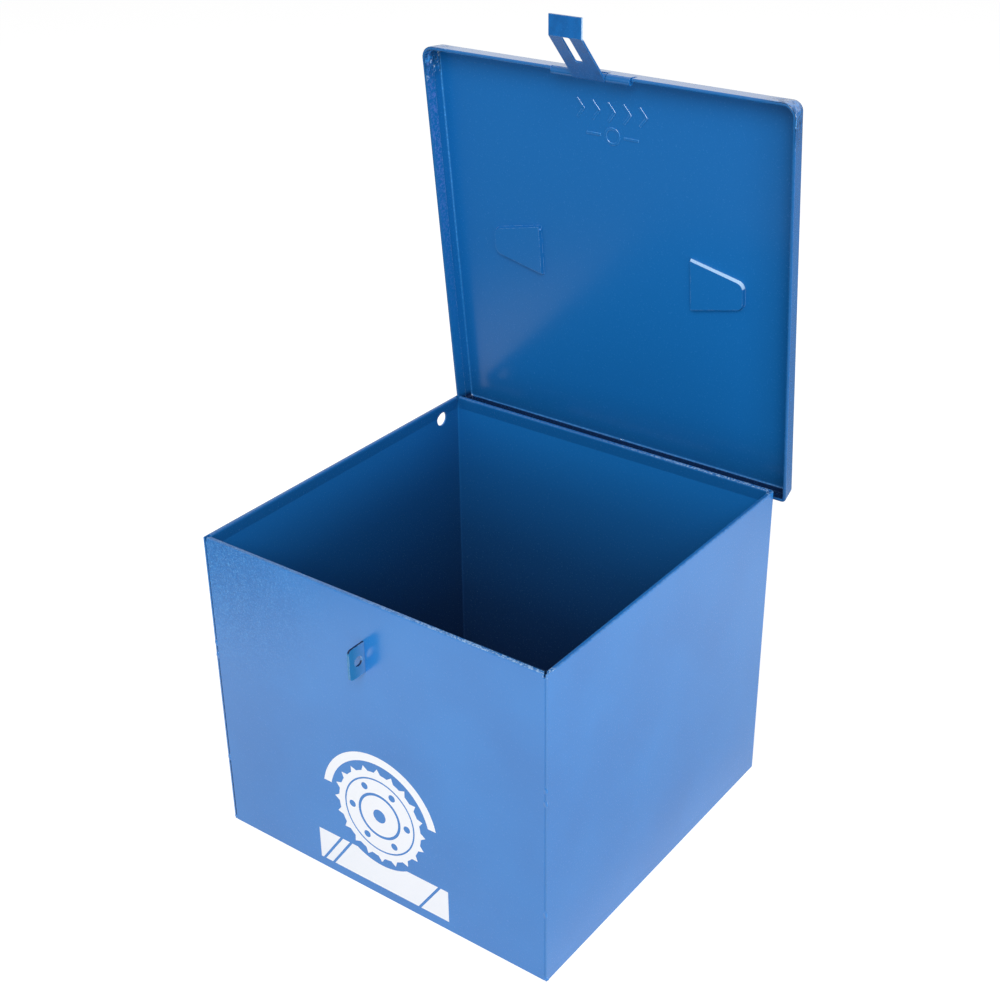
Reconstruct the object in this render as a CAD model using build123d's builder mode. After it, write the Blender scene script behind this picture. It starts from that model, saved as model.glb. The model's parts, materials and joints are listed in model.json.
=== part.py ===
from build123d import *
import math
import os

# Saw carrying case in painted sheet steel, millimetres.
# X runs to the case's right seen from the front, Y to the back, Z up.
# The origin is the middle of the footprint, on the surface the case stands on.
# The lid is modelled as it stands open, which is the rest pose.

# Box
box_width = 260.0
box_depth = 257.0
box_height = 222.0
sheet = 1.1
rim_width = 3.0
hem_height = 10.0
wall_bend_radius = 2.2
fold_stop = 4.0
panel_flange = 12.0
panel_edge_radius = 1.0
panel_relief = 1.6
panel_relief_depth = 3.0
pan_flange = 10.0
pan_corner_radius = 4.0
flange_relief = 3.0
side_hole = 10.4
side_hole_from_rear = 20.2
side_hole_below_rim = 11.7

# Lid
lid_depth = 15.1
skirt_flare = 2.8
lid_corner_radius = 8.6
lid_rear_corner_radius = 3.0
lid_bend_radius = 2.5
lid_hem_height = 7.0
lid_side_clearance = 2.75
lid_front_clearance = 5.3
lid_rear_clearance = 0.6
lid_rest_gap = 0.3
lid_side_shift = 1.25
open_angle = 84.0

# Rear hinges
pin_diameter = 2.6
pin_clearance = 0.05
leaf_sheet = 1.2
knuckle_clearance = 0.3
hinge_length = 40.0
hinge_from_side = 50.0
hinge_axis_above_skirt = 1.4
body_leaf_height = 22.0
body_leaf_crank = 4.0
lid_leaf_height = 11.0
body_knuckle = 13.0
knuckle_gap = 0.4

# Hasp and padlock staple
padlock_x = -1.8
hasp_x = -3.3
hasp_width = 23.4
hasp_sheet = 1.3
hasp_pin_above_edge = 2.6
hasp_pin_inset = 3.2
hasp_reach = 39.5
hasp_tip = 12.2
hasp_tip_angle = 6.0
hasp_rest_angle = 35.7
slot_length = 23.6
slot_width = 6.0
slot_corner = 1.2
tab_left_width = 16.0
tab_right_width = 16.7
notch_spare = 2.2
staple_sheet = 1.5
staple_height = 21.5
staple_proud = 13.6
staple_top_below_rim = 28.6
staple_corner = 3.0
staple_foot = 12.0
staple_slot_clearance = 0.1
eye_diameter = 7.0
eye_from_panel = 5.4

# Recesses and handle
recess_spacing = 117.0
recess_base = 34.0
recess_end = 16.6
recess_length = 37.0
recess_depth = 2.4
recess_draft = 22.0
recess_corner = 5.0
wire = 6.0
wire_clearance = 0.3
leg_inset = 5.2
handle_end = 25.0
handle_height = 42.0
handle_bend = 12.0
handle_end_bend = 4.0
handle_rest_tilt = 10.0
bracket_sheet = 1.5
bracket_length = 11.0
bracket_foot = 4.2
bracket_from_leg = 9.0

# Sizes that follow
hem = 2 * sheet
rim_round = 0.95 * sheet
half_width = box_width / 2
half_depth = box_depth / 2
knuckle_radius = pin_diameter / 2 + pin_clearance + leaf_sheet
hinge_standoff = knuckle_radius + knuckle_clearance
hinge_y = half_depth + lid_rear_clearance + hem + hinge_standoff
plate_top = lid_depth - hinge_axis_above_skirt
hinge_z = box_height + lid_rest_gap + sheet - plate_top
lid_width = box_width + 2 * (lid_side_clearance + hem)
lid_length = box_depth + lid_rear_clearance + lid_front_clearance + 2 * hem
skirt_edge = -hinge_axis_above_skirt
rear_face = -hinge_standoff
front_edge = rear_face - lid_length
lid_middle = (rear_face + front_edge) / 2
hinge_places = (hinge_from_side - half_width, half_width - hinge_from_side)

# The lid's frame: origin on the hinge axis, z out of the lid's plate, y towards the back of the lid.
lean = math.radians(open_angle)
lid_frame = Plane(
    origin=(0, hinge_y, hinge_z),
    x_dir=(1, 0, 0),
    z_dir=(0, math.sin(lean), math.cos(lean)),
)


def lid_section(x, y=0.0, z=0.0, turn=0.0):
    """Plane across the lid: its own x is the lid's y, its own y the lid's z, turned about the lid's x."""
    return Plane(
        origin=lid_frame.from_local_coords((x, y, z)),
        x_dir=lid_frame.y_dir.rotate(Axis.X, turn),
        z_dir=(1, 0, 0),
    )


def fold_profile(face, side):
    """Folded rim in section: full width at the top, its free edge leaning back to the wall."""
    fold = side * (rim_width - sheet)
    top = box_height
    points = [(face, top - hem_height), (face, top), (face - fold, top), (face - fold, top - rim_width / 2)]
    return Polygon(*points, align=None)


# Left, back and right walls: one sheet bent round the two rear corners, its rim folded inwards
with BuildPart() as wall_wrap:
    with BuildSketch():
        Rectangle(box_width, box_depth)
        fillet(vertices().group_by(Axis.Y)[-1], wall_bend_radius)
    extrude(amount=box_height)
    with BuildSketch():
        with Locations((0, -sheet)):
            Rectangle(box_width - 2 * sheet, box_depth)
            fillet(vertices().group_by(Axis.Y)[-1], wall_bend_radius - sheet)
    extrude(amount=box_height, mode=Mode.SUBTRACT)
    with BuildSketch(Plane.XZ):
        fold_profile(half_width - sheet, 1)
        fold_profile(sheet - half_width, -1)
    extrude(amount=half_depth - fold_stop, both=True)
    with BuildSketch(Plane.YZ):
        fold_profile(half_depth - sheet, 1)
    extrude(amount=half_width - fold_stop, both=True)
    rim = edges().group_by(Axis.Z)[-1]
    fillet([edge for edge in rim if edge.length > 10 * rim_width], rim_round)
    with BuildSketch(Plane.YZ.offset(-half_width)):
        with Locations((half_depth - side_hole_from_rear, box_height - side_hole_below_rim)):
            Circle(side_hole / 2)
    extrude(amount=rim_width, mode=Mode.SUBTRACT)

# Front panel between the side walls, its flanges bent back along their inner faces
panel_width = box_width - 2 * sheet
panel_middle = sheet / 2 - half_depth
staple_bottom = box_height - staple_top_below_rim - staple_height
with BuildPart() as front_panel:
    with BuildSketch():
        with Locations((0, panel_middle)):
            Rectangle(panel_width, sheet)
            fillet(vertices().group_by(Axis.Y)[0], panel_edge_radius)
    extrude(amount=box_height)
    with BuildSketch(Plane.XY.offset(sheet)):
        flange_x = panel_width / 2 - sheet / 2
        flange_y = panel_middle + panel_flange / 2
        with Locations((-flange_x, flange_y), (flange_x, flange_y)):
            Rectangle(sheet, panel_flange)
    extrude(amount=box_height - hem_height - 2 * sheet)
    with BuildSketch(Plane.YZ):
        fold_profile(sheet - half_depth, -1)
    extrude(amount=half_width - fold_stop, both=True)
    with BuildSketch(Plane.XY.offset(box_height - panel_relief_depth)):
        with Locations((-panel_width / 2, panel_middle), (panel_width / 2, panel_middle)):
            Rectangle(2 * panel_relief, 4 * sheet)
    extrude(amount=panel_relief_depth, mode=Mode.SUBTRACT)
    rim = edges().group_by(Axis.Z)[-1]
    fillet([edge for edge in rim if edge.length > 10 * rim_width], rim_round)
    with BuildSketch(Plane.XZ.offset(half_depth - sheet)):
        with Locations((padlock_x, staple_bottom + staple_height / 2)):
            Rectangle(
                staple_sheet + 2 * staple_slot_clearance,
                staple_height + 2 * staple_slot_clearance,
            )
    extrude(amount=sheet, mode=Mode.SUBTRACT)

# Floor pan with four upturned flanges, open at its corners
pan_width = box_width - 2 * sheet
pan_depth = box_depth - 2 * sheet
side_relief = panel_flange + flange_relief
side_flange = pan_depth - side_relief - flange_relief - pan_corner_radius
side_flange_x = pan_width / 2 - sheet / 2
side_flange_y = (side_relief - flange_relief - pan_corner_radius) / 2
with BuildPart() as bottom_pan:
    with BuildSketch():
        Rectangle(pan_width, pan_depth)
        fillet(vertices(), pan_corner_radius)
    extrude(amount=sheet)
    with BuildSketch():
        with Locations((-side_flange_x, side_flange_y), (side_flange_x, side_flange_y)):
            Rectangle(sheet, side_flange)
        with Locations((0, pan_depth / 2 - sheet / 2), (0, sheet / 2 - pan_depth / 2)):
            Rectangle(pan_width - 2 * (flange_relief + pan_corner_radius), sheet)
    extrude(amount=pan_flange)

# Padlock staple: the eye passes through the front panel and its foot lies against the inside
with BuildPart() as padlock_staple:
    with BuildSketch(Plane.YZ.offset(padlock_x - staple_sheet / 2)):
        with Locations((sheet + staple_sheet - half_depth, staple_bottom)):
            Rectangle(staple_proud + sheet + staple_sheet, staple_height, align=(Align.MAX, Align.MIN))
        fillet(vertices().group_by(Axis.X)[0], staple_corner)
        with Locations((-half_depth - eye_from_panel, staple_bottom + staple_height / 2)):
            Circle(eye_diameter / 2, mode=Mode.SUBTRACT)
    extrude(amount=staple_sheet)
    with BuildSketch(Plane.XZ.offset(half_depth - sheet)):
        with Locations((padlock_x - staple_sheet / 2, staple_bottom)):
            Rectangle(staple_foot, staple_height, align=(Align.MIN, Align.MIN))
            fillet(vertices().group_by(Axis.X)[-1], staple_corner / 2)
    extrude(amount=-staple_sheet)


def lid_outline(height, inset):
    """Outline of the flared tray at a height above its free edge, drawn inset from its outer face."""
    narrowing = skirt_flare * height / lid_depth
    width = lid_width - 2 * (narrowing + inset)
    length = lid_length - narrowing - 2 * inset
    with BuildSketch(lid_frame.offset(skirt_edge + height)) as outline:
        with Locations((lid_side_shift, rear_face - inset - length / 2)):
            Rectangle(width, length)
        fillet(outline.vertices().group_by(Axis.Y)[0], lid_corner_radius - narrowing - inset)
        fillet(outline.vertices().group_by(Axis.Y)[-1], lid_rear_corner_radius - inset)
    return outline.sketch


def recess_outline(height, grow, side):
    """Tapered outline of a pressed recess, straight across the base and narrower outwards."""
    base = recess_base / 2 + grow
    end = recess_end / 2 + grow
    near = side * (recess_spacing / 2 - grow)
    far = side * (recess_spacing / 2 + recess_length + grow)
    with BuildSketch(lid_frame.offset(height)) as outline:
        with Locations((lid_side_shift, lid_middle)):
            Polygon((near, -base), (far, -end), (far, end), (near, base), align=None)
        corners = outline.vertices().sort_by(Axis.X, reverse=side > 0)
        fillet(corners[:2], recess_corner + grow)
    return outline.sketch


def curl(x_start, length, y, z, radius):
    """Knuckle rolled round a pin that runs along the lid's x."""
    with BuildPart() as knuckle:
        with BuildSketch(lid_section(x_start, y, z)):
            Circle(radius)
            Circle(pin_diameter / 2 + pin_clearance, mode=Mode.SUBTRACT)
        extrude(amount=length)
    return knuckle.part


# Lid: flared tray with hemmed skirts, two recesses for the handle and a notch for the hasp
lid_up = Axis(lid_frame.origin, lid_frame.z_dir)
draft_run = recess_depth * math.tan(math.radians(recess_draft))
hasp_pin_y = front_edge + hasp_pin_inset
hasp_pin_z = skirt_edge + hasp_pin_above_edge
tab_radius = pin_diameter / 2 + pin_clearance + sheet
tab_left_start = hasp_x - hasp_width / 2 - knuckle_gap - tab_left_width
tab_right_start = hasp_x + hasp_width / 2 + knuckle_gap
notch_end = tab_right_start + tab_right_width + notch_spare
tab_lean = skirt_flare / lid_depth
with BuildPart() as lid_hollow:
    loft(sections=[lid_outline(0, sheet), lid_outline(lid_depth - sheet, sheet)])
    fillet(edges().group_by(lid_up)[-1], lid_bend_radius - sheet)
with BuildPart() as lid_hem:
    loft(sections=[lid_outline(0, sheet / 2), lid_outline(lid_hem_height, sheet / 2)])
    loft(sections=[lid_outline(0, hem), lid_outline(lid_hem_height, hem)], mode=Mode.SUBTRACT)
with BuildPart() as lid:
    loft(sections=[lid_outline(0, 0), lid_outline(lid_depth, 0)])
    fillet(edges().group_by(lid_up)[-1], lid_bend_radius)
    add(lid_hollow.part, mode=Mode.SUBTRACT)
    add(lid_hem.part)
    fillet(edges().group_by(lid_up)[0], rim_round)
    for side in (-1, 1):
        loft(
            sections=[
                recess_outline(plate_top - sheet / 2, sheet, side),
                recess_outline(plate_top - sheet - recess_depth, sheet - draft_run, side),
            ]
        )
        loft(
            sections=[
                recess_outline(plate_top, 0, side),
                recess_outline(plate_top - recess_depth, -draft_run, side),
            ],
            mode=Mode.SUBTRACT,
        )
    with BuildSketch(lid_section(tab_left_start)):
        with Locations((front_edge, skirt_edge)):
            Rectangle(4 * hem, 2 * lid_hem_height)
    extrude(amount=notch_end - tab_left_start, mode=Mode.SUBTRACT)
    for start, length in ((tab_left_start, tab_left_width), (tab_right_start, tab_right_width)):
        with BuildSketch(lid_section(start)):
            with BuildLine():
                low = hasp_pin_above_edge
                high = lid_hem_height + sheet
                Polyline(
                    (front_edge + low * tab_lean, skirt_edge + low),
                    (front_edge + high * tab_lean, skirt_edge + high),
                    (front_edge + high * tab_lean + sheet, skirt_edge + high),
                    (front_edge + low * tab_lean + sheet, skirt_edge + low),
                    close=True,
                )
            make_face()
        extrude(amount=length)
        add(curl(start, length, hasp_pin_y, hasp_pin_z, tab_radius))
        with BuildSketch(lid_section(start, hasp_pin_y, hasp_pin_z)):
            Circle(pin_diameter / 2 + pin_clearance)
        extrude(amount=length, mode=Mode.SUBTRACT)

# Hasp hinge pin, held by the lid's two curled tabs
with BuildPart() as hasp_pin:
    with BuildSketch(lid_section(tab_left_start, hasp_pin_y, hasp_pin_z)):
        Circle(pin_diameter / 2)
    extrude(amount=tab_right_start + tab_right_width - tab_left_start)

# Hasp strap: curled round its pin, straight with a slot for the staple, then kicked out as a finger lift
hasp_bore = pin_diameter / 2 + pin_clearance
hasp_middle = hasp_bore + hasp_sheet / 2
kick = math.radians(hasp_rest_angle + hasp_tip_angle)
hasp_section = lid_section(hasp_x - hasp_width / 2, hasp_pin_y, hasp_pin_z, 180 + hasp_rest_angle)
slot_plane = Plane(
    origin=lid_section(hasp_x, hasp_pin_y, hasp_pin_z).origin,
    x_dir=hasp_section.x_dir,
    z_dir=hasp_section.y_dir,
)
with BuildPart() as hasp_strap:
    with BuildSketch(hasp_section):
        with BuildLine():
            Polyline(
                (0, hasp_middle),
                (hasp_reach, hasp_middle),
                (hasp_reach + hasp_tip * math.cos(kick), hasp_middle - hasp_tip * math.sin(kick)),
            )
        trace(line_width=hasp_sheet)
        Circle(hasp_bore + hasp_sheet)
        Circle(hasp_bore, mode=Mode.SUBTRACT)
    extrude(amount=hasp_width)
    with BuildSketch(slot_plane):
        with Locations((hasp_reach - slot_length / 2, 0)):
            RectangleRounded(slot_length, slot_width, slot_corner)
    extrude(amount=hasp_bore + 2 * hasp_sheet, mode=Mode.SUBTRACT)

# Handle: a wire bail whose ends turn out into the recesses
handle_axis_z = plate_top - recess_depth + wire / 2 + wire_clearance
leg_x = recess_spacing / 2 + leg_inset
handle_plane = Plane(
    origin=lid_frame.from_local_coords((lid_side_shift, lid_middle, handle_axis_z)),
    x_dir=(1, 0, 0),
    z_dir=lid_frame.z_dir.rotate(Axis.X, handle_rest_tilt),
)
with BuildPart() as handle:
    with BuildLine(handle_plane) as bail:
        FilletPolyline(
            (-leg_x - handle_end, 0),
            (-leg_x, 0),
            (-leg_x, handle_height),
            (leg_x, handle_height),
            (leg_x, 0),
            (leg_x + handle_end, 0),
            radius=(handle_end_bend, handle_bend, handle_bend, handle_end_bend),
        )
    with BuildSketch(bail.line ^ 0):
        Circle(wire / 2)
    sweep()


def handle_bracket(side):
    """Strip arched over one turned-out end of the handle, its two feet on the floor of the recess."""
    inner = wire / 2 + wire_clearance
    outer = inner + bracket_sheet
    near = leg_x + bracket_from_leg
    start = near if side > 0 else -near - bracket_length
    with BuildPart() as bracket:
        with BuildSketch(lid_section(lid_side_shift + start, lid_middle, handle_axis_z)):
            Circle(outer)
            with Locations((0, -inner)):
                Rectangle(2 * outer, inner, align=(Align.CENTER, Align.MIN))
                Rectangle(2 * (outer + bracket_foot), bracket_sheet, align=(Align.CENTER, Align.MIN))
            with Locations((0, -inner)):
                Rectangle(2 * outer, outer - inner, align=(Align.CENTER, Align.MAX), mode=Mode.SUBTRACT)
            Circle(inner, mode=Mode.SUBTRACT)
            with Locations((0, -inner)):
                Rectangle(2 * inner, inner, align=(Align.CENTER, Align.MIN), mode=Mode.SUBTRACT)
        extrude(amount=bracket_length)
    return bracket.part


def body_leaf(x):
    """Leaf on the back wall, cranked out past the lid's skirt to a knuckle in the middle of the hinge."""
    flat_y = half_depth + leaf_sheet / 2
    knuckle_y = hinge_y - pin_diameter / 2 - pin_clearance - leaf_sheet / 2
    crank_top = hinge_z - body_leaf_crank
    crank_low = crank_top - (knuckle_y - flat_y) - leaf_sheet
    side_gap = hinge_length - body_knuckle
    with BuildPart() as leaf:
        with BuildSketch(Plane.YZ.offset(x - hinge_length / 2)):
            with BuildLine():
                Polyline(
                    (flat_y, hinge_z - body_leaf_height),
                    (flat_y, crank_low),
                    (knuckle_y, crank_top),
                    (knuckle_y, hinge_z),
                )
            trace(line_width=leaf_sheet)
        extrude(amount=hinge_length)
        with BuildSketch(Plane.XY.offset(hinge_z - knuckle_radius - knuckle_gap)):
            with Locations((x - hinge_length / 2, hinge_y), (x + hinge_length / 2, hinge_y)):
                Rectangle(side_gap, 2 * hinge_standoff + 2 * knuckle_radius)
        extrude(amount=2 * knuckle_radius, mode=Mode.SUBTRACT)
        with BuildSketch(Plane.YZ.offset(x - body_knuckle / 2)):
            with Locations((hinge_y, hinge_z)):
                Circle(knuckle_radius)
        extrude(amount=body_knuckle)
        with BuildSketch(Plane.YZ.offset(x - body_knuckle / 2)):
            with Locations((hinge_y, hinge_z)):
                Circle(pin_diameter / 2 + pin_clearance)
        extrude(amount=body_knuckle, mode=Mode.SUBTRACT)
    return leaf.part


def lid_leaf(x):
    """Leaf on the lid's rear skirt with a knuckle at each end of the hinge."""
    knuckle = (hinge_length - body_knuckle) / 2 - knuckle_gap
    with BuildPart() as leaf:
        with BuildSketch(lid_section(x - hinge_length / 2)):
            with Locations((rear_face, 0)):
                Rectangle(leaf_sheet, lid_leaf_height, align=(Align.MIN, Align.MIN))
        extrude(amount=hinge_length)
        with BuildSketch(lid_section(x - body_knuckle / 2 - knuckle_gap)):
            with Locations((rear_face, 0)):
                Rectangle(4 * leaf_sheet, 2 * (knuckle_radius + knuckle_gap))
        extrude(amount=body_knuckle + 2 * knuckle_gap, mode=Mode.SUBTRACT)
        for start in (x - hinge_length / 2, x + hinge_length / 2 - knuckle):
            add(curl(start, knuckle, 0, 0, knuckle_radius))
    return leaf.part


def hinge_pin(x):
    with BuildPart() as pin:
        with BuildSketch(Plane.YZ.offset(x - hinge_length / 2)):
            with Locations((hinge_y, hinge_z)):
                Circle(pin_diameter / 2)
        extrude(amount=hinge_length)
    return pin.part


pieces = {
    "wall_wrap": wall_wrap.part,
    "front_panel": front_panel.part,
    "bottom_pan": bottom_pan.part,
    "padlock_staple": padlock_staple.part,
    "lid": lid.part,
    "hasp_pin": hasp_pin.part,
    "hasp_strap": hasp_strap.part,
    "handle": handle.part,
}
for name, place, side in (("left", hinge_places[0], -1), ("right", hinge_places[1], 1)):
    pieces["hinge_leaf_body_" + name] = body_leaf(place)
    pieces["hinge_leaf_lid_" + name] = lid_leaf(place)
    pieces["hinge_pin_" + name] = hinge_pin(place)
    pieces["handle_bracket_" + name] = handle_bracket(side)

os.makedirs("parts", exist_ok=True)
for name, piece in pieces.items():
    piece.label = name
    export_step(piece, "parts/" + name + ".step")
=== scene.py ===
import json
import math

import bpy
from mathutils import Matrix, Vector


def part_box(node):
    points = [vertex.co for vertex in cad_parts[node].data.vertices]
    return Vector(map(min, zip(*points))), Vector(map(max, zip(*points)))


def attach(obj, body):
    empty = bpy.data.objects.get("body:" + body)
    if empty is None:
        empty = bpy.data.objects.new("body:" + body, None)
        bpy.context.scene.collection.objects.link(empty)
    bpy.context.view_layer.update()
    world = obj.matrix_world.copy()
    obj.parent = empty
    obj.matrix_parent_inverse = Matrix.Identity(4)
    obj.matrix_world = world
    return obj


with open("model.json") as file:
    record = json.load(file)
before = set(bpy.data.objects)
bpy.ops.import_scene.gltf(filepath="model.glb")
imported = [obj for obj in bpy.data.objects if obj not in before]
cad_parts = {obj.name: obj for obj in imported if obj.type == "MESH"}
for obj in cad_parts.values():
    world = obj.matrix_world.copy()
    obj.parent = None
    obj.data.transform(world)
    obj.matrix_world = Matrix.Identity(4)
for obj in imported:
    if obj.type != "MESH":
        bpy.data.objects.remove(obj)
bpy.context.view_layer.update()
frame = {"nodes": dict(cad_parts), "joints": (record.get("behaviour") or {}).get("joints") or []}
nodes = frame["nodes"]
mm = 0.001
print("frame loaded:", len(nodes), "nodes")


# A wrapped shader socket, so that maths on values reads as maths
class Value:
    def __init__(self, shader, socket):
        self.shader = shader
        self.socket = socket

    def maths(self, operation, first, second=0.0, clamp=False):
        settings = {"operation": operation, "use_clamp": clamp}
        return self.shader.make("ShaderNodeMath", settings, {0: first, 1: second})

    def __add__(self, other):
        return self.maths("ADD", self, other)

    def __radd__(self, other):
        return self.maths("ADD", other, self)

    def __sub__(self, other):
        return self.maths("SUBTRACT", self, other)

    def __rsub__(self, other):
        return self.maths("SUBTRACT", other, self)

    def __mul__(self, other):
        return self.maths("MULTIPLY", self, other)

    def __rmul__(self, other):
        return self.maths("MULTIPLY", other, self)

    def __truediv__(self, other):
        return self.maths("DIVIDE", self, other)

    def clamped(self):
        return self.maths("ADD", self, 0.0, clamp=True)

    def size(self):
        return self.maths("ABSOLUTE", self)


class Shader:
    def __init__(self, name, kind="materials"):
        self.finished = getattr(bpy.data, kind).new(name)
        self.finished.use_nodes = True
        self.tree = self.finished.node_tree
        self.tree.nodes.clear()

    # One node of any type: its settings first, then the values or links of its inputs
    def make(self, nodeType, settings=None, inputs=None, out=0):
        node = self.tree.nodes.new(nodeType)
        for key, value in (settings or {}).items():
            if key == "stops":
                ramp = node.color_ramp
                while len(ramp.elements) < len(value):
                    ramp.elements.new(0.5)
                for element, (place, colour) in zip(ramp.elements, value):
                    element.position = place
                    element.color = colour
            else:
                setattr(node, key, value)
        for key, value in (inputs or {}).items():
            if isinstance(value, Value):
                self.tree.links.new(value.socket, node.inputs[key])
            else:
                node.inputs[key].default_value = value
        return Value(self, node.outputs[out]) if node.outputs else None

    def mixColour(self, factor, first, second):
        return self.make("ShaderNodeMix", {"data_type": "RGBA"}, {0: factor, 6: first, 7: second}, out=2)

    def noise(self, place, scale, detail, roughness=0.5):
        inputs = {"Vector": place, "Scale": scale, "Detail": detail, "Roughness": roughness}
        return self.make("ShaderNodeTexNoise", None, inputs)

    # 0 at low and 1 at high, level beyond both; low may be the larger of the two
    def ramp(self, value, low, high, soft=False):
        kind = {"interpolation_type": "SMOOTHSTEP"} if soft else None
        if low < high:
            return self.make("ShaderNodeMapRange", kind, {0: value, 1: low, 2: high, 3: 0.0, 4: 1.0})
        return self.make("ShaderNodeMapRange", kind, {0: value, 1: high, 2: low, 3: 1.0, 4: 0.0})

    # least where the mask is 0, most where it is 1
    def between(self, mask, least, most):
        return mask * (most - least) + least

    def axis(self, vector, number):
        return self.make("ShaderNodeSeparateXYZ", None, {0: vector}, out=number)

    def dot(self, first, second):
        return self.make("ShaderNodeVectorMath", {"operation": "DOT_PRODUCT"}, {0: first, 1: second}, out=1)

    def distance(self, first, second):
        return self.make("ShaderNodeVectorMath", {"operation": "DISTANCE"}, {0: first, 1: second}, out=1)

    def bump(self, height, strength, distance, under=None):
        inputs = {"Strength": strength, "Distance": distance, "Height": height}
        if under:
            inputs["Normal"] = under
        return self.make("ShaderNodeBump", None, inputs)

    def finish(self, surface, output="ShaderNodeOutputMaterial"):
        self.make(output, None, {"Surface": surface})
        return self.finished


# Glossy blue powder coat on sheet steel. In all looks a noise is given as its scale, detail and roughness, and
# the pair of a mask says where it starts and where it is full
paintLook = {
    "colour": (0.012, 0.2, 0.595, 1),
    "cloudColour": (0.010, 0.175, 0.54, 1),
    "clouds": (14.0, 3.0),
    "cloudSpan": (0.35, 0.7),
    # Edges are painted lighter as a highlight; glints are painted highlights
    "edgeHighlightColour": (0.05, 0.29, 0.68, 1),
    "edgeShare": 0.6,
    "edgeRadius": 0.7 * mm,
    "edgeSamples": 4,
    "edgeGain": 6.0,
    "glintColour": (0.5, 0.72, 0.95, 1),
    "glints": (330.0, 2.0, 0.6),
    "glintSpan": (0.44, 0.54),
    "glintShare": 0.3,
    "speckle": (900.0, 2.0, 0.7),
    "speckleSpan": (0.56, 0.72),
    "speckleShare": 0.25,
    "speckleRoughness": 0.1,
    "roughness": 0.22,
    "specular": 0.25,
    "coatRoughness": 0.17,
    "coatIndex": 1.75,
    "coatOutside": 1.0,
    "coatInside": 0.15,
    "peel": (750.0, 3.0, 0.6),
    "peelStrength": 0.5,
    "peelDepth": 0.05 * mm,
    "waves": (26.0, 2.0),
    "waveStrength": 0.22,
    "waveDepth": 1.0 * mm,
}


# What all the blue finishes share: fine speckle, edges painted lighter as a highlight with painted glints on
# them, orange peel and slow waves
def paintSurface(shader, look, place, base, coat, glintShare, speckleShare, relief=None):
    peel = shader.noise(place, *look["peel"])
    waves = shader.noise(place, *look["waves"])
    speckle = shader.ramp(shader.noise(place, *look["speckle"]), *look["speckleSpan"])
    glints = shader.ramp(shader.noise(place, *look["glints"]), *look["glintSpan"])
    edge = edgeMask(shader, look)
    base = shader.mixColour(speckle * speckleShare, base, look["cloudColour"])
    # Painted highlight on the edges, with painted glints in spots along them
    base = shader.mixColour(edge * look["edgeShare"], base, look["edgeHighlightColour"])
    base = shader.mixColour(edge * glints * glintShare, base, look["glintColour"])
    surfaceRelief = shader.bump(peel, look["peelStrength"], look["peelDepth"], relief)
    return shader.make("ShaderNodeBsdfPrincipled", None, {
        "Base Color": base,
        "Roughness": look["roughness"] + speckle * look["speckleRoughness"],
        "Specular IOR Level": look["specular"],
        "Coat Weight": coat,
        "Coat Roughness": look["coatRoughness"],
        "Coat IOR": look["coatIndex"],
        "Normal": shader.bump(waves, look["waveStrength"], look["waveDepth"], surfaceRelief),
    })


def cloudyBlue(shader, look, place):
    clouds = shader.noise(place, *look["clouds"])
    return shader.mixColour(shader.ramp(clouds, *look["cloudSpan"]), look["colour"], look["cloudColour"])


# How far the rounded normal leans from the flat one: 1 on a sharp edge, 0 on a flat
def edgeMask(shader, look):
    rounded = shader.make("ShaderNodeBevel", {"samples": look["edgeSamples"]}, {"Radius": look["edgeRadius"]})
    flat = shader.make("ShaderNodeNewGeometry", out=1)
    return ((1.0 - shader.dot(rounded, flat)) * look["edgeGain"]).clamped()


# 1 on faces that look towards the centre
def insideMask(shader, place, normal, centre):
    outward = shader.make("ShaderNodeVectorMath", {"operation": "SUBTRACT"}, {0: place, 1: centre})
    return shader.make("ShaderNodeMath", {"operation": "LESS_THAN"}, {0: shader.dot(outward, normal), 1: 0.0})


# Box: duller inside and painted darker there as shade that deepens towards the floor, with coarser orange peel
# round one front corner
caseLook = dict(paintLook)
caseLook.update({
    # Inside, the blue is painted darker as shade, darker still towards the floor and on the left wall
    "insideShadeColour": (0.009, 0.155, 0.47, 1),
    "deepShadeColour": (0.0072, 0.0185, 0.067, 1),
    "shadeByHeight": ((0.0, 0.92), (0.25, 0.84), (0.5, 0.66), (0.75, 0.36), (0.92, 0.06), (1.0, 0.0)),
    "leftWallFacing": (0.5, 0.9),
    "leftWallShade": 0.22,
    "foldBelow": (10 * mm, 9 * mm),
    "foldShadeColour": (0.006, 0.1, 0.31, 1),
    "foldShare": 0.35,
    "edgeHighlightColour": (0.05, 0.24, 0.52, 1),
    "edgeShare": 0.4,
    "coatRoughness": 0.25,
    "rimBelow": (1.5 * mm, 0.5 * mm),
    "rimFacing": (0.3, 0.7),
    "rimShadeColour": (0.012, 0.05, 0.16, 1),
    "rimShade": 0.45,
    "rimCoatLoss": 0.5,
    "patchReach": (130 * mm, 20 * mm),
    "patchDepth": 0.45 * mm,
    "patchCoatLoss": 0.22,
    "blotches": (1125.0, 2.0, 0.7),
    "patchHighlightColour": (0.1, 0.42, 0.82, 1),
    "lightSpan": (0.56, 0.64),
    "lightShare": 0.6,
    "patchShadeColour": (0.004, 0.12, 0.38, 1),
    "darkSpan": (0.45, 0.38),
    "darkShare": 0.7,
    "darkCoatLoss": 0.3,
    "glintBelow": (5 * mm, 2 * mm),
    "glintAcross": (-10 * mm, 70 * mm),
    "glintShares": (0.15, 0.9),
    "sparkleAlong": (120 * mm, 122 * mm),
    "sparkle": (850.0, 2.0, 0.6),
    "sparkleSpan": (0.46, 0.58),
    "sparkleShare": 0.5,
    "insideSpeckleLoss": 0.85,
})


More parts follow.
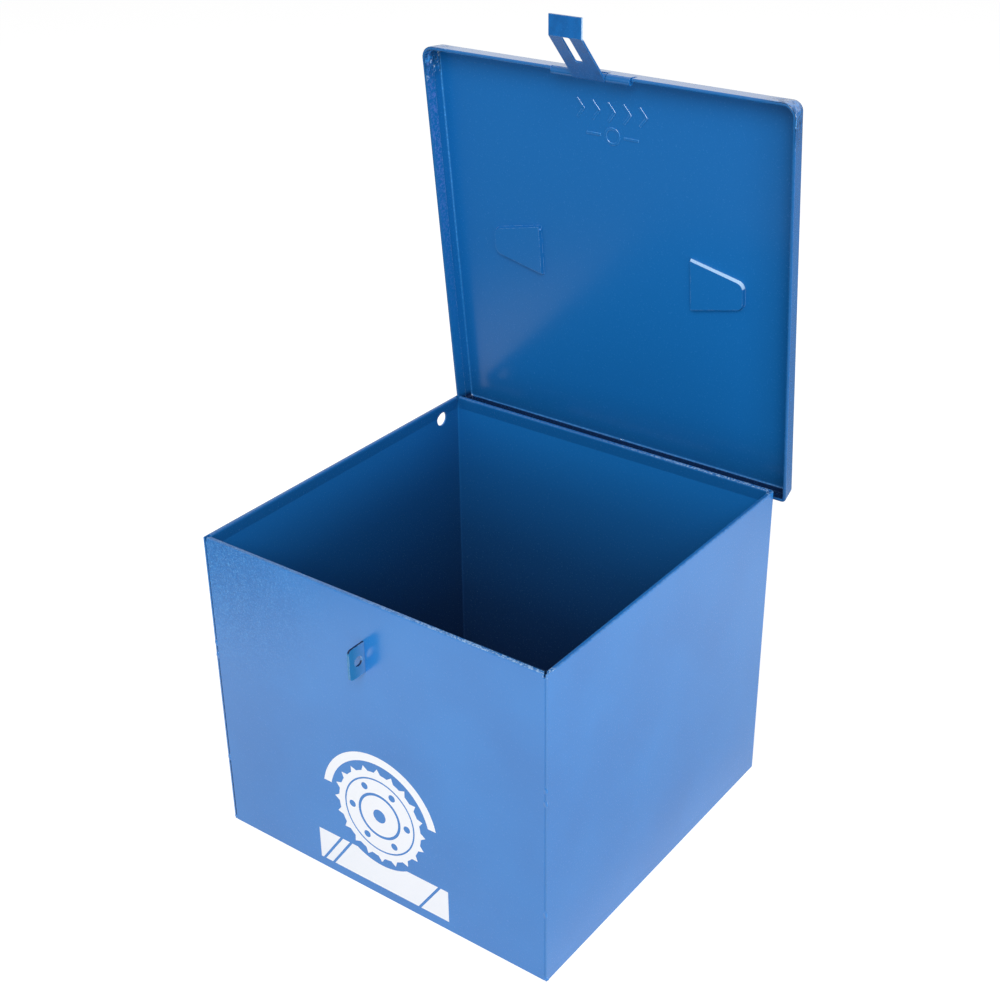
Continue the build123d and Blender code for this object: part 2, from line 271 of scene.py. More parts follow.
def casePaint(name, look, top, corner):
    shader = Shader(name)
    place = shader.make("ShaderNodeTexCoord", out=3)
    normal = shader.make("ShaderNodeTexCoord", out=1)
    inside = insideMask(shader, place, normal, (0, 0, top / 2))
    height = shader.axis(place, 2)
    below = top - height
    stops = [(share, (amount, amount, amount, 1)) for share, amount in look["shadeByHeight"]]
    depth = shader.make("ShaderNodeValToRGB", {"stops": stops}, {0: height / top})
    leftWall = shader.ramp(shader.axis(normal, 0), *look["leftWallFacing"])
    # Painted shade inside, deepening towards the floor, and on the inner left wall
    base = shader.mixColour(inside, cloudyBlue(shader, look, place), look["insideShadeColour"])
    base = shader.mixColour(inside * depth, base, look["deepShadeColour"])
    base = shader.mixColour(inside * leftWall * look["leftWallShade"], base, look["deepShadeColour"])
    # The inner band just below the rim is painted darker as shade
    foldBandShade = shader.ramp(below, *look["foldBelow"]) * inside
    base = shader.mixColour(foldBandShade * look["foldShare"], base, look["foldShadeColour"])
    # Round one front corner: coarser orange peel, with its light and dark specks painted as highlights and
    # shade
    patch = shader.ramp(shader.distance(place, corner), *look["patchReach"], soft=True) * (1.0 - inside)
    blotches = shader.noise(place, *look["blotches"])
    light = patch * shader.ramp(blotches, *look["lightSpan"])
    dark = patch * shader.ramp(blotches, *look["darkSpan"])
    base = shader.mixColour(light * look["lightShare"], base, look["patchHighlightColour"])
    base = shader.mixColour(dark * look["darkShare"], base, look["patchShadeColour"])
    # Rim tops are painted darker as shade, and lose some coat
    rim = shader.ramp(below, *look["rimBelow"]) * shader.ramp(shader.axis(normal, 2), *look["rimFacing"])
    base = shader.mixColour(rim * look["rimShade"], base, look["rimShadeColour"])
    coat = shader.between(inside, look["coatOutside"], look["coatInside"])
    coat = coat - dark * look["darkCoatLoss"] - patch * look["patchCoatLoss"]
    coat = coat * (1.0 - rim * look["rimCoatLoss"])
    # Painted glints on the edges near the rims, more towards the right, and painted sparkle on the front and
    # back rims
    toTheRight = shader.ramp(shader.axis(place, 0), *look["glintAcross"])
    glintShare = shader.ramp(below, *look["glintBelow"]) * shader.between(toTheRight, *look["glintShares"])
    frontAndBack = shader.ramp(shader.axis(place, 1).size(), *look["sparkleAlong"])
    sparkle = shader.ramp(shader.noise(place, *look["sparkle"]), *look["sparkleSpan"]) * frontAndBack * rim
    base = shader.mixColour(sparkle * glintShare * look["sparkleShare"], base, look["glintColour"])
    speckleShare = look["speckleShare"] * (1.0 - inside * look["insideSpeckleLoss"])
    relief = shader.bump(blotches * patch, 1.0, look["patchDepth"])
    return shader.finish(paintSurface(shader, look, place, base, coat, glintShare, speckleShare, relief))


# Lid: dull inside, but its bends, folded edge and window-facing slopes shine; its front corners are creased
# Its inside is painted darker as shade, with painted highlights on bends, hem, one recess slope and crease
# folds
lidLook = dict(paintLook)
lidLook.update({
    "insideFacing": (0.1, 0.2),
    "insideShadeColour": (0.0075, 0.142, 0.435, 1),
    "shadeColour": (0.006, 0.085, 0.25, 1),
    "shadeReach": 45 * mm,
    "rightShade": 0.5,
    "lowShade": 0.6,
    "foldedLevels": (5.6 * mm, 5.1 * mm),
    "foldedFacing": (0.25, 0.35),
    "foldedShade": 0.35,
    "hemFacing": (0.45, 0.35),
    "hemSheenColour": (0.11, 0.21, 0.62, 1),
    "hemShare": 0.7,
    "hemCoat": 0.4,
    "rimFacing": (0.9, 0.97),
    "rimCoat": 0.25,
    "upperHalf": (0.27, 0.42),
    "underLevels": (8 * mm, 4 * mm),
    "underFacing": (0.5, 0.2),
    "underShadeColour": (0.002, 0.007, 0.035, 1),
    "underShare": 0.95,
    "bendFrom": (0.42, 0.5),
    "bendTo": (0.97, 0.9),
    "bendHighlightColour": (0.05, 0.36, 0.84, 1),
    "bendGrain": (0.25, 0.85),
    "bendUpper": (0.4, 1.0),
    "bendCoat": 0.3,
    "grain": (600.0, 2.0, 0.7),
    "grainSpan": (0.45, 0.65),
    "edgeShare": 0.3,
    "glintShare": 0.2,
    "windowFacing": (0.08, 0.26),
    "recessAcross": (100 * mm, 95 * mm),
    "recessUpright": (40 * mm, 36 * mm),
    "litAcross": (0.0, 10 * mm),
    "litGain": 1.6,
    "creaseReach": (26 * mm, 7.8 * mm),
    "creaseInward": (0.8, 0.5),
    "creaseOutward": (-0.7, -0.5),
    "creaseDepth": 3.0 * mm,
    "creaseCoat": 0.6,
    "folds": (240.0, 3.0, 0.55),
    "darkSpan": (0.5, 0.42),
    "darkShare": 0.8,
    "darkCoatLoss": 0.7,
    "lightSpan": (0.55, 0.6),
    "lightShares": (0.25, 0.6),
    "sparks": (300.0, 2.0, 0.6),
    "sparkSpan": (0.62, 0.66),
    "sparkShare": 0.8,
})


def lidPaint(name, look, tray):
    shader = Shader(name)
    place = shader.make("ShaderNodeTexCoord", out=3)
    normal = shader.make("ShaderNodeTexCoord", out=1)
    facing = shader.dot(normal, tray["inward"])
    inside = insideMask(shader, place, normal, tray["centre"])
    inside = (inside + shader.ramp(facing, *look["insideFacing"])).clamped()
    level = shader.dot(place, tray["outward"]) - tray["hingeLevel"]
    height = shader.axis(place, 2)
    upper = shader.ramp(height, *look["upperHalf"])
    across = shader.axis(place, 0)
    fromMiddle = across - tray["centre"][0]
    sideways = fromMiddle.size()

    folded = shader.ramp(level, *look["foldedLevels"])
    hem = folded * shader.ramp(facing, *look["hemFacing"]) * upper
    rim = folded * shader.ramp(facing, *look["rimFacing"])
    # Painted shade low inside the lid next to the hinge, which also takes away its coat
    under = shader.ramp(height - tray["foot"], *look["underLevels"])
    under = under * shader.ramp(facing, *look["underFacing"])
    recess = shader.ramp(sideways, *look["recessAcross"])
    recess = recess * shader.ramp((height - tray["recessLevel"]).size(), *look["recessUpright"])
    bend = shader.ramp(facing, *look["bendFrom"]) * shader.ramp(facing, *look["bendTo"])
    bend = bend * (1.0 - folded) * (1.0 - recess)
    slope = shader.axis(normal, 0) * shader.axis(normal, 2)
    window = shader.ramp(slope, *look["windowFacing"], soft=True)
    lit = (window * look["litGain"]).clamped() * recess * shader.ramp(fromMiddle, *look["litAcross"])
    window = window * (1.0 - recess)
    along = shader.axis(place, 1)
    besideMiddle = shader.make("ShaderNodeCombineXYZ", None, {0: sideways, 1: along, 2: height})
    crease = shader.ramp(shader.distance(besideMiddle, tray["corner"]), *look["creaseReach"], soft=True)
    crease = crease * shader.ramp(facing, *look["creaseInward"]) * shader.ramp(facing, *look["creaseOutward"])
    # Painted shade, deepening towards the lid's right and lower edges
    right = shader.ramp(across, tray["right"] - look["shadeReach"], tray["right"], soft=True)
    low = shader.ramp(height, tray["bottom"] + look["shadeReach"], tray["bottom"], soft=True)
    shade = (right * look["rightShade"] + low * look["lowShade"]).clamped()

    # Inside, the lid's blue is painted darker as shade
    base = shader.mixColour(inside, cloudyBlue(shader, look, place), look["insideShadeColour"])
    base = shader.mixColour(inside * shade, base, look["shadeColour"])
    grain = shader.ramp(shader.noise(place, *look["grain"]), *look["grainSpan"])
    # The inner hem gets a grainy, lighter painted sheen
    base = shader.mixColour(inside * hem * grain * look["hemShare"], base, look["hemSheenColour"])
    # Bends inside the lid get a painted highlight, grainy and stronger in the upper half
    bendShare = shader.between(grain, *look["bendGrain"]) * shader.between(upper, *look["bendUpper"])
    base = shader.mixColour(inside * bend * bendShare, base, look["bendHighlightColour"])
    # One slope of the right-hand recess is painted as a bright highlight
    base = shader.mixColour(inside * lit, base, look["glintColour"])
    # Painted shade low inside by the hinge
    base = shader.mixColour(inside * under * look["underShare"], base, look["underShadeColour"])
    # The folded rim is painted darker as shade
    foldedShade = folded * shader.ramp(facing, *look["foldedFacing"]) * look["foldedShade"]
    base = shader.mixColour(foldedShade, base, look["shadeColour"])
    # In the creased corners the dark folds are painted shade, the light folds painted highlights and the
    # sparks painted glints
    folds = shader.noise(place, *look["folds"])
    creaseShade = crease * shader.ramp(folds, *look["darkSpan"])
    base = shader.mixColour(creaseShade * look["darkShare"], base, look["shadeColour"])
    creaseHighlights = crease * shader.ramp(folds, *look["lightSpan"])
    lightShare = shader.between(inside, *look["lightShares"])
    base = shader.mixColour(creaseHighlights * lightShare, base, look["bendHighlightColour"])
    sparks = crease * inside * shader.ramp(shader.noise(place, *look["sparks"]), *look["sparkSpan"])
    base = shader.mixColour(sparks * look["sparkShare"], base, look["glintColour"])

    shine = bend * look["bendCoat"] + window + hem * look["hemCoat"] + rim * look["rimCoat"] + lit
    shine = (shine + crease * look["creaseCoat"]).clamped()
    coat = shader.between(inside * (1.0 - shine), look["coatOutside"], look["coatInside"])
    coat = coat * (1.0 - creaseShade * look["darkCoatLoss"]) * (1.0 - inside * under)
    relief = shader.bump(folds * crease, 1.0, look["creaseDepth"])
    surface = paintSurface(shader, look, place, base, coat, look["glintShare"], look["speckleShare"], relief)
    return shader.finish(surface)


# Hinges and brackets are as glossy as the outside; the hasp hangs in the lid's shade, which is painted into
# its darker blue, and looks duller
def fittingPaint(name, look):
    shader = Shader(name)
    place = shader.make("ShaderNodeTexCoord", out=3)
    base = cloudyBlue(shader, look, place)
    coat = look["coatOutside"]
    surface = paintSurface(shader, look, place, base, coat, look["glintShare"], look["speckleShare"])
    return shader.finish(surface)


haspLook = dict(paintLook)
haspLook.update({
    "dullColour": (0.0075, 0.125, 0.4, 1),
    "blotchColour": (0.005, 0.08, 0.27, 1),
    "haspBlotches": (160.0, 3.0, 0.6),
    "blotchSpan": (0.4, 0.7),
    "blotchShare": 0.6,
    "blotchCoat": 0.1,
    "coat": 0.15,
    "edgeShare": 0.2,
    "glintShare": 0.2,
    "tipBelow": (13.5 * mm, 12.5 * mm),
    "tipFacing": (0.6, 0.9),
    "tipHighlightShare": 0.8,
})


def haspPaint(name, look, top):
    shader = Shader(name)
    place = shader.make("ShaderNodeTexCoord", out=3)
    normal = shader.make("ShaderNodeTexCoord", out=1)
    # Patchy darker blotches from noise, with a little more coat
    haspBlotches = shader.ramp(shader.noise(place, *look["haspBlotches"]), *look["blotchSpan"])
    # The hasp's darker blue is painted shade
    base = shader.mixColour(haspBlotches * look["blotchShare"], look["dullColour"], look["blotchColour"])
    # The end plate's right edge gets a painted highlight
    tip = shader.ramp(top - shader.axis(place, 2), *look["tipBelow"])
    tip = tip * shader.ramp(shader.axis(normal, 0), *look["tipFacing"])
    base = shader.mixColour(tip * look["tipHighlightShare"], base, look["glintColour"])
    coat = look["coat"] + haspBlotches * look["blotchCoat"]
    surface = paintSurface(shader, look, place, base, coat, look["glintShare"], look["speckleShare"])
    return shader.finish(surface)


# Staple: less coat than the case, lighter towards the panel along a wandering border, and almost black on its
# upward edges
stapleLook = dict(paintLook)
stapleLook.update({
    "tipColour": (0.02, 0.19, 0.42, 1),
    "rootColour": (0.1, 0.28, 0.6, 1),
    "rootSpan": (-10 * mm, -1 * mm),
    "rootWander": (260.0, 3.0, 0.6),
    "rootWanderReach": 4 * mm,
    "topFacing": (0.3, 0.5),
    "topColour": (0.003, 0.012, 0.06, 1),
    "coat": 0.45,
    "edgeShare": 0.3,
    "glintShare": 0.4,
})


def staplePaint(name, look, front):
    shader = Shader(name)
    place = shader.make("ShaderNodeTexCoord", out=3)
    normal = shader.make("ShaderNodeTexCoord", out=1)
    rootWander = (shader.noise(place, *look["rootWander"]) - 0.5) * look["rootWanderReach"]
    root = shader.ramp(shader.axis(place, 1) - front + rootWander, *look["rootSpan"])
    base = shader.mixColour(root, look["tipColour"], look["rootColour"])
    top = shader.ramp(shader.axis(normal, 2), *look["topFacing"])
    base = shader.mixColour(top, base, look["topColour"])
    coat = look["coat"] * (1.0 - top)
    surface = paintSurface(shader, look, place, base, coat, look["glintShare"], look["speckleShare"])
    return shader.finish(surface)


wireLook = {
    "colour": (0.62, 0.63, 0.65, 1),
    "dullColour": (0.5, 0.51, 0.53, 1),
    "clouds": (60.0, 3.0),
    "cloudSpan": (0.3, 0.75),
    "roughness": 0.28,
    "grain": (420.0, 4.0, 0.7),
    "grainRoughness": 0.15,
    "grainStrength": 0.25,
    "grainDepth": 0.02 * mm,
}


def platedWire(name, look):
    shader = Shader(name)
    place = shader.make("ShaderNodeTexCoord", out=3)
    grain = shader.noise(place, *look["grain"])
    clouds = shader.ramp(shader.noise(place, *look["clouds"]), *look["cloudSpan"])
    surface = shader.make("ShaderNodeBsdfPrincipled", None, {
        "Base Color": shader.mixColour(clouds, look["colour"], look["dullColour"]),
        "Metallic": 1.0,
        "Roughness": look["roughness"] + grain * look["grainRoughness"],
        "Normal": shader.bump(grain, look["grainStrength"], look["grainDepth"]),
    })
    return shader.finish(surface)


inkLook = {
    "colour": (0.86, 0.88, 0.92, 1),
    "thinColour": (0.6, 0.7, 0.84, 1),
    "thinSpan": (0.6, 0.8),
    "thinShare": 0.5,
    "roughness": 0.35,
    "grain": (700.0, 3.0, 0.6),
    "grainRoughness": 0.1,
    "grainStrength": 0.2,
    "grainDepth": 0.02 * mm,
}


def whiteInk(name, look):
    shader = Shader(name)
    place = shader.make("ShaderNodeTexCoord", out=3)
    grain = shader.noise(place, *look["grain"])
    thin = shader.ramp(grain, *look["thinSpan"])
    surface = shader.make("ShaderNodeBsdfPrincipled", None, {
        "Base Color": shader.mixColour(thin * look["thinShare"], look["colour"], look["thinColour"]),
        "Roughness": look["roughness"] + grain * look["grainRoughness"],
        "Normal": shader.bump(grain, look["grainStrength"], look["grainDepth"]),
    })
    return shader.finish(surface)


# The lid's own frame lies flat when the lid is shut; at rest it is turned back by the whole closing angle
joints = {joint["name"]: joint for joint in frame["joints"]}
hinge = Vector(joints["lid_hinge"]["pos_m"])
opened = math.radians(joints["lid_hinge"]["range_deg"][1])
lidFrame = Matrix.Translation(hinge) @ Matrix.Rotation(-opened, 4, "X")
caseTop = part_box("wall_wrap")[1].z
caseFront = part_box("wall_wrap")[0].y
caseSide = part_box("wall_wrap")[1].x
lidSpec = {"insideTray": 5 * mm, "cornerInset": 4 * mm, "rearBend": 3 * mm}
handleAxis = lidFrame.inverted() @ Vector(joints["handle_swing"]["pos_m"])
trayCentre = lidFrame @ Vector((handleAxis.x, handleAxis.y, lidSpec["insideTray"]))
trayOutward = lidFrame.to_3x3() @ Vector((0, 0, 1))
lidLow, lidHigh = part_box("lid")
cornerInset = lidSpec["cornerInset"]
tray = {
    "centre": tuple(trayCentre),
    "outward": tuple(trayOutward),
    "inward": tuple(-trayOutward),
    "hingeLevel": trayOutward.dot(hinge),
    "corner": (lidHigh.x - trayCentre.x, lidLow.y + cornerInset, lidHigh.z - cornerInset),
    "recessLevel": joints["handle_swing"]["pos_m"][2],
    "right": lidHigh.x,
    "bottom": hinge.z + lidSpec["rearBend"],
    "foot": lidLow.z,
}

caseCoat = casePaint("caseCoat", caseLook, caseTop, (-caseSide, caseFront, caseTop))
lidCoat = lidPaint("lidCoat", lidLook, tray)
haspCoat = haspPaint("haspCoat", haspLook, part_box("hasp_strap")[1].z)
stapleCoat = staplePaint("stapleCoat", stapleLook, caseFront)
plainCoat = fittingPaint("fittingsCoat", paintLook)
zinc = platedWire("zincPlate", wireLook)
ink = whiteInk("whiteScreenInk", inkLook)
coats = {
    "wall_wrap": caseCoat,
    "front_panel": caseCoat,
    "bottom_pan": caseCoat,
    "lid": lidCoat,
    "handle": zinc,
    "hasp_strap": haspCoat,
    "hasp_pin": haspCoat,
    "padlock_staple": stapleCoat,
}
for name, node in nodes.items():
    node.data.materials.clear()
    node.data.materials.append(coats.get(name, plainCoat))
print("finishes on every node")


# Modelling helpers
def clearSelection():
    if bpy.context.object and bpy.context.object.mode != "OBJECT":
        bpy.ops.object.mode_set(mode="OBJECT")
    bpy.ops.object.select_all(action="DESELECT")


def named(name, material):
    piece = bpy.context.object
    piece.name = name
    piece.data.name = name
    piece.data.materials.clear()
    piece.data.materials.append(material)
    return piece


# Bakes modifiers and the object's own place into the mesh
def settle(piece):
    clearSelection()
    piece.select_set(True)
    bpy.context.view_layer.objects.active = piece
    for modifier in list(piece.modifiers):
        bpy.ops.object.modifier_apply(modifier=modifier.name)
    bpy.ops.object.transform_apply(location=True, rotation=True, scale=True)
    piece.select_set(False)
    return piece


def selectVertices(piece, wanted):
    bpy.ops.object.mode_set(mode="OBJECT")
    for vertex in piece.data.vertices:
        vertex.select = wanted(vertex)
    for edge in piece.data.edges:
        edge.select = all(piece.data.vertices[v].select for v in edge.vertices)
    for face in piece.data.polygons:
        face.select = all(piece.data.vertices[v].select for v in face.vertices)
    bpy.ops.object.mode_set(mode="EDIT")


# Screen print on the front: a toothed disc under its guard, cutting into a slab
printSpec = {
    "middle": (3 * mm, 65 * mm),
    "discRadius": 33 * mm,
    "teeth": 20,
    "toothHeight": 3.6 * mm,
    "lines": ((27 * mm, 28.2 * mm), (15 * mm, 17 * mm)),
    "arbor": 5 * mm,
    "vents": 6,
    "ventPlace": 22 * mm,
    "ventRadius": 2.6 * mm,
    "slabWidth": 106 * mm,
    "slabHeight": 24 * mm,
    "slabBase": 7 * mm,
    "kerf": 3 * mm,
    "veins": (-42 * mm, -34 * mm, 38 * mm),
    "veinWidth": 1.8 * mm,
    "veinTurn": 0.6,
    "guardInner": 40 * mm,
    "guardOuter": 46 * mm,
    "guardFrom": 9 * mm,
    "thickness": 0.1 * mm,
    "sides": {"ring": 128, "vent": 32, "arbor": 48, "kerf": 96},
}


# A thin disc of ink, flat in X and Z, standing proud of the front panel
def inkDisc(name, x, z, radius, sides, thickness):
    clearSelection()
    bpy.ops.mesh.primitive_cylinder_add(
        vertices=sides, radius=radius, depth=thickness,
        location=(x, caseFront, z), rotation=(math.radians(90), 0, 0),
    )
    return named(name, ink)


def inkSlab(name, x, z, width, height, thickness, turn=0.0):
    clearSelection()
    bpy.ops.mesh.primitive_cube_add(
        size=1, location=(x, caseFront, z), rotation=(0, turn, 0), scale=(width, thickness, height)
    )
    return named(name, ink)


def inkRing(name, x, z, inner, outer, sides, thickness):
    ring = inkDisc(name, x, z, outer, sides, thickness)
    return cutAway(ring, inkDisc(name + "Bore", x, z, inner, sides, thickness * 3))


def cutAway(piece, cutter):
    clearSelection()
    bpy.context.view_layer.objects.active = piece
    piece.select_set(True)
    modifier = piece.modifiers.new("cut", "BOOLEAN")
    modifier.operation = "DIFFERENCE"
    modifier.solver = "EXACT"
    modifier.object = cutter
    bpy.ops.object.modifier_apply(modifier=modifier.name)
    bpy.data.objects.remove(cutter)
    return piece


# Every fourth pair of rim points moves outwards, which makes the teeth
def toothedDisc(spec, x, z, thickness):
    disc = inkDisc("printDisc", x, z, spec["discRadius"], spec["teeth"] * 4, thickness)
    tip = (spec["discRadius"] + spec["toothHeight"]) / spec["discRadius"]
    selectVertices(disc, lambda vertex: vertex.index // 2 % 4 == 0)
    bpy.ops.transform.resize(value=(tip, tip, tip), constraint_axis=(True, False, True))
    bpy.ops.object.mode_set(mode="OBJECT")
    return disc


# The cutters are six times as thick as the ink, so that they come out on both sides
def frontPrint(spec):
    x, z = spec["middle"]
    sides = spec["sides"]
    thin = spec["thickness"]
    cut = thin * 6
    disc = toothedDisc(spec, x, z, thin)
    for number, (inner, outer) in enumerate(spec["lines"]):
        cutAway(disc, inkRing(f"lineCut{number}", x, z, inner, outer, sides["ring"], cut))
    for number in range(spec["vents"]):
        angle = math.tau * number / spec["vents"]
        ventX = x + spec["ventPlace"] * math.cos(angle)
        ventZ = z + spec["ventPlace"] * math.sin(angle)
        cutAway(disc, inkDisc(f"ventCut{number}", ventX, ventZ, spec["ventRadius"], sides["vent"], cut))
    cutAway(disc, inkDisc("arborCut", x, z, spec["arbor"], sides["arbor"], cut))
    guard = inkRing("printGuard", x, z, spec["guardInner"], spec["guardOuter"], sides["ring"], thin)
    reach = 2 * spec["guardOuter"] + 2 * mm
    cutAway(guard, inkSlab("guardCut", x, z + spec["guardFrom"] - reach / 2, reach, reach, cut))
    slabMiddle = spec["slabBase"] + spec["slabHeight"] / 2
    slab = inkSlab("printSlab", x, slabMiddle, spec["slabWidth"], spec["slabHeight"], thin)
    kerfRadius = spec["discRadius"] + spec["toothHeight"] + spec["kerf"]
    cutAway(slab, inkDisc("kerfCut", x, z, kerfRadius, sides["kerf"], cut))
    length = 2 * spec["slabHeight"]
    for number, vein in enumerate(spec["veins"]):
        name = f"veinCut{number}"
        cutAway(slab, inkSlab(name, x + vein, slabMiddle, spec["veinWidth"], length, cut, spec["veinTurn"]))
    return [disc, guard, slab]


for piece in frontPrint(printSpec):
    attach(settle(piece), "case")
print("front print done")


# Raised pattern pressed into the lid near its front edge: a row of arrowheads over a ring between two bars
embossSpec = {
    "middle": (3.3 * mm, -241 * mm),
    "arrows": 5,
    "arrowStep": 11.5 * mm,
    "arrowArm": 8.5 * mm,
    "armSpread": 0.34,
    "armTurn": 0.9,
    "stroke": 1.9 * mm,
    "height": 1.0 * mm,
    "softShare": 0.42,
    "softSteps": 3,
    "softFrom": math.radians(40),
    "secondRow": 15.5 * mm,
    "ringRadius": 5 * mm,
    "ringSides": 48,
    "barLength": 11 * mm,
    "barFromMiddle": 14 * mm,
}


# Where a line square to the lid meets the inner face of its plate
def onLidPlate(x, y):
    start = lidFrame @ Vector((x, y, lidSpec["insideTray"]))
    return nodes["lid"].ray_cast(start, trayOutward)[1]


# The lid's inner face seen from inside: x stays, y points towards the hinge
def lidTurn(angle):
    return (lidFrame.to_3x3() @ Matrix.Rotation(angle, 3, "Z")).to_euler()


def rib(name, x, y, length, angle, spec):
    clearSelection()
    size = (length, spec["stroke"], spec["height"])
    bpy.ops.mesh.primitive_cube_add(size=1, location=onLidPlate(x, y), rotation=lidTurn(angle), scale=size)
    piece = named(name, lidCoat)
    bpy.ops.object.transform_apply(location=False, rotation=False, scale=True)
    softEdges(piece, spec)
    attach(settle(piece), "lid")


def softEdges(piece, spec):
    softened = piece.modifiers.new("softened", "BEVEL")
    softened.width = spec["height"] * spec["softShare"]
    softened.segments = spec["softSteps"]
    softened.angle_limit = spec["softFrom"]


def embossedDisc(name, place, radius, sides, height):
    clearSelection()
    bpy.ops.mesh.primitive_cylinder_add(
        vertices=sides, radius=radius, depth=height, location=place, rotation=lidTurn(0.0)
    )
    return named(name, lidCoat)


def embossedPattern(spec):
    x, y = spec["middle"]
    for number in range(spec["arrows"]):
        arrowX = x + (number - (spec["arrows"] - 1) / 2) * spec["arrowStep"]
        for side in (-1, 1):
            name = f"arrow{number}{'low' if side < 0 else 'high'}"
            offset = side * spec["arrowArm"] * spec["armSpread"]
            rib(name, arrowX, y + offset, spec["arrowArm"], -side * spec["armTurn"], spec)
    for side in (-1, 1):
        name = "barLeft" if side < 0 else "barRight"
        rib(name, x + side * spec["barFromMiddle"], y + spec["secondRow"], spec["barLength"], 0.0, spec)
    middle = onLidPlate(x, y + spec["secondRow"])
    radius, sides, half, height = spec["ringRadius"], spec["ringSides"], spec["stroke"] / 2, spec["height"]
    ring = embossedDisc("embossedRing", middle, radius + half, sides, height)
    bore = embossedDisc("ringBore", middle, radius - half, sides, height * 3)
    softEdges(cutAway(ring, bore), spec)
    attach(settle(ring), "lid")


embossedPattern(embossSpec)
print("embossed pattern done")

# Small beads of weld at the seams, painted over
weldSpec = {
    "size": (1.5 * mm, 0.7 * mm, 2.6 * mm),
    "lump": 0.35 * mm,
    "lumpSize": 1.1 * mm,
    "heights": (143.5 * mm, 134 * mm, 52 * mm),
    "fromSide": 1.0 * mm,
    "fromFront": 0.35 * mm,
    "footSize": (2.2 * mm, 1.2 * mm, 1.6 * mm),
    "footFromSide": 1.2 * mm,
    "footFromFront": 0.9 * mm,
    "footHeight": 1.6 * mm,
    "nib": {"place": (-56.7 * mm, -151.4 * mm), "size": (0.9 * mm, 0.8 * mm, 1.0 * mm), "lump": 0.2 * mm},
}


def weldBead(name, place, size, lump, body="case"):
    clearSelection()
    bpy.ops.mesh.primitive_ico_sphere_add(subdivisions=4, radius=1, location=place, scale=size)
    bead = named(name, plainCoat)
    bpy.ops.object.transform_apply(location=True, rotation=True, scale=True)
    texture = bpy.data.textures.new(name, "CLOUDS")
    texture.noise_scale = weldSpec["lumpSize"]
    modifier = bead.modifiers.new("lumps", "DISPLACE")
    modifier.texture = texture
    modifier.texture_coords = "LOCAL"
    modifier.strength = lump
    modifier.mid_level = 0.5
    bpy.ops.object.shade_smooth()
    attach(settle(bead), body)


for side, sideName in ((-1, "Left"), (1, "Right")):
    seamX, seamY = side * (caseSide - weldSpec["fromSide"]), caseFront + weldSpec["fromFront"]
    for number, height in enumerate(weldSpec["heights"]):
        weldBead(f"seamWeld{sideName}{number}", (seamX, seamY, height), weldSpec["size"], weldSpec["lump"])
    footX, footY = side * (caseSide - weldSpec["footFromSide"]), caseFront + weldSpec["footFromFront"]
    foot = (footX, footY, weldSpec["footHeight"])
    weldBead(f"footWeld{sideName}", foot, weldSpec["footSize"], weldSpec["lump"])
nib = weldSpec["nib"]
weldBead("paintNib", onLidPlate(*nib["place"]), nib["size"], nib["lump"], "lid")
print("weld beads and paint nib done")


# Floor, white surroundings and lamps
studio = {
    "floorSize": 30.0,
    "floorGap": 0.2 * mm,
    "floorColour": (0.8, 0.8, 0.8, 1),
    "white": (1, 1, 1, 1),
    "cameraLift": 0.45,
    "glowMiddle": (0.1, 0.1, 0.0),
    "glowReach": (0.73, 0.55),
    "glowFar": 0.08,
    "glowStrength": 0.93,
    "nearReach": (0.42, 0.2),
    "nearShade": 0.28,
    "rightFlag": (0.11, 0.17),
    "rightShade": 0.33,
    "backFlag": (0.42, 0.62),
    "backStrength": 0.15,
    "skyLight": 0.6,
    "skyMirrored": 0.8,
    "skyShown": 1.0,
    "keyEnergy": 60.0,
    "keySize": 1.6,
    "keyPlace": (1.2, -2.0, 2.2),
    "keyTarget": (0.0, 0.0, 0.2),
    "fillEnergy": 20.0,
    "fillSize": 0.8,
    "fillPlace": (2.4, 0.2, 0.4),
}


# White to the camera by an even lift; in the paint's reflections the floor is a glow, painted bright near the
# case, with painted shade to its right, close round the case and behind it, and dark further out
def floorFinish(spec):
    shader = Shader("paleFloor")
    cameraRay = shader.make("ShaderNodeLightPath", out=0)
    glossyRay = shader.make("ShaderNodeLightPath", out=3)
    place = shader.make("ShaderNodeTexCoord", out=3)
    glow = shader.ramp(shader.distance(place, spec["glowMiddle"]), *spec["glowReach"], soft=True)
    right = shader.ramp(shader.axis(place, 0), *spec["rightFlag"], soft=True)
    back = shader.ramp(shader.axis(place, 1), *spec["backFlag"], soft=True)
    near = shader.ramp(shader.distance(place, (0, 0, 0)), *spec["nearReach"])
    strength = shader.between(glow, spec["glowFar"], spec["glowStrength"])
    strength = strength * (1.0 - right * spec["rightShade"]) * (1.0 - back) + back * spec["backStrength"]
    strength = strength * (1.0 - near * spec["nearShade"])
    seen = cameraRay * spec["cameraLift"]
    lift = shader.make("ShaderNodeEmission", None, {"Color": spec["white"], "Strength": seen})
    matt = shader.make("ShaderNodeBsdfDiffuse", None, {"Color": spec["floorColour"]})
    lit = shader.make("ShaderNodeAddShader", None, {0: lift, 1: matt})
    mirrored = shader.make("ShaderNodeEmission", None, {"Color": spec["white"], "Strength": strength})
    return shader.finish(shader.make("ShaderNodeMixShader", None, {0: glossyRay, 1: lit, 2: mirrored}))


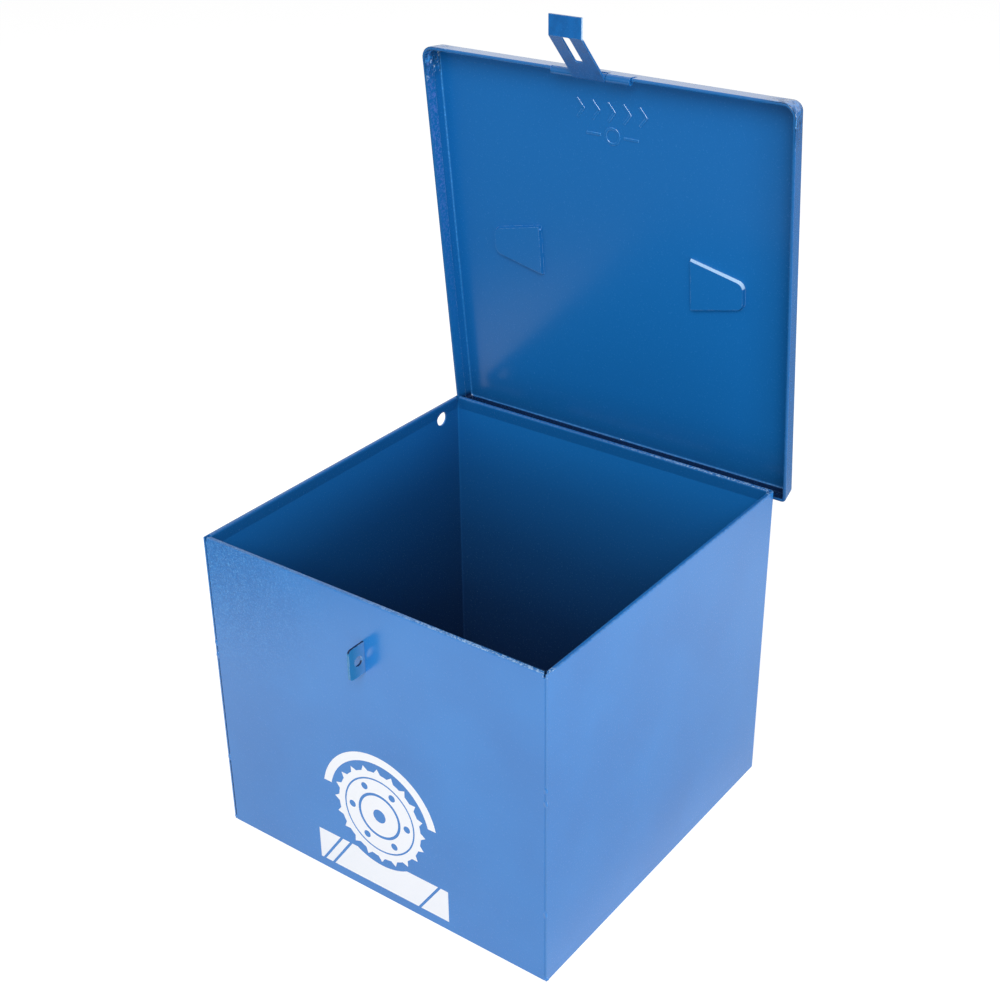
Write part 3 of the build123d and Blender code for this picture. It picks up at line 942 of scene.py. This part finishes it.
clearSelection()
bpy.ops.mesh.primitive_plane_add(size=studio["floorSize"], location=(0, 0, 0))
floor = named("floor", floorFinish(studio))
floor.data.transform(Matrix.Translation((0, 0, -studio["floorGap"])))


# The camera sees white surroundings; those that light the case and show in its paint are somewhat dimmer
def surroundings(spec):
    shader = Shader("whiteStudio", "worlds")
    camera = shader.make("ShaderNodeLightPath", out=0)
    glossy = shader.make("ShaderNodeLightPath", out=3)
    strength = shader.between(glossy, spec["skyLight"], spec["skyMirrored"])
    strength = strength + camera * (spec["skyShown"] - spec["skyLight"])
    sky = shader.make("ShaderNodeBackground", None, {"Color": spec["white"], "Strength": strength})
    return shader.finish(sky, "ShaderNodeOutputWorld")


bpy.context.scene.world = surroundings(studio)


def areaLamp(name, place, target, size, energy):
    bpy.ops.object.light_add(type="AREA", location=place)
    lamp = bpy.context.object
    lamp.name = name
    lamp.data.size = size
    lamp.data.energy = energy
    lamp.rotation_euler = (Vector(target) - Vector(place)).to_track_quat("-Z", "Y").to_euler()


areaLamp("keyLamp", studio["keyPlace"], studio["keyTarget"], studio["keySize"], studio["keyEnergy"])
areaLamp("fillLamp", studio["fillPlace"], studio["keyTarget"], studio["fillSize"], studio["fillEnergy"])

# The camera stands where the photograph was taken from
view = {
    "place": (0.5329, -0.7071, 0.7095),
    "yaw": 36.80,
    "pitch": 28.38,
    "roll": -0.784,
    "lens": 57.447,
    "sensor": 36.0,
}
bpy.ops.object.camera_add(location=view["place"])
camera = bpy.context.object
camera.name = "photoCamera"
camera.data.sensor_width = view["sensor"]
camera.data.lens = view["lens"]
yaw, pitch, roll = (math.radians(view[key]) for key in ("yaw", "pitch", "roll"))
ahead = Vector((-math.sin(yaw) * math.cos(pitch), math.cos(yaw) * math.cos(pitch), -math.sin(pitch)))
right = Vector((math.cos(yaw), math.sin(yaw), 0))
up = right.cross(ahead)
turnedRight = right * math.cos(roll) + up * math.sin(roll)
turnedUp = up * math.cos(roll) - right * math.sin(roll)
camera.rotation_euler = Matrix((turnedRight, turnedUp, -ahead)).transposed().to_euler()
bpy.context.scene.camera = camera
bpy.context.scene.view_settings.view_transform = "Standard"
print("studio and camera ready")
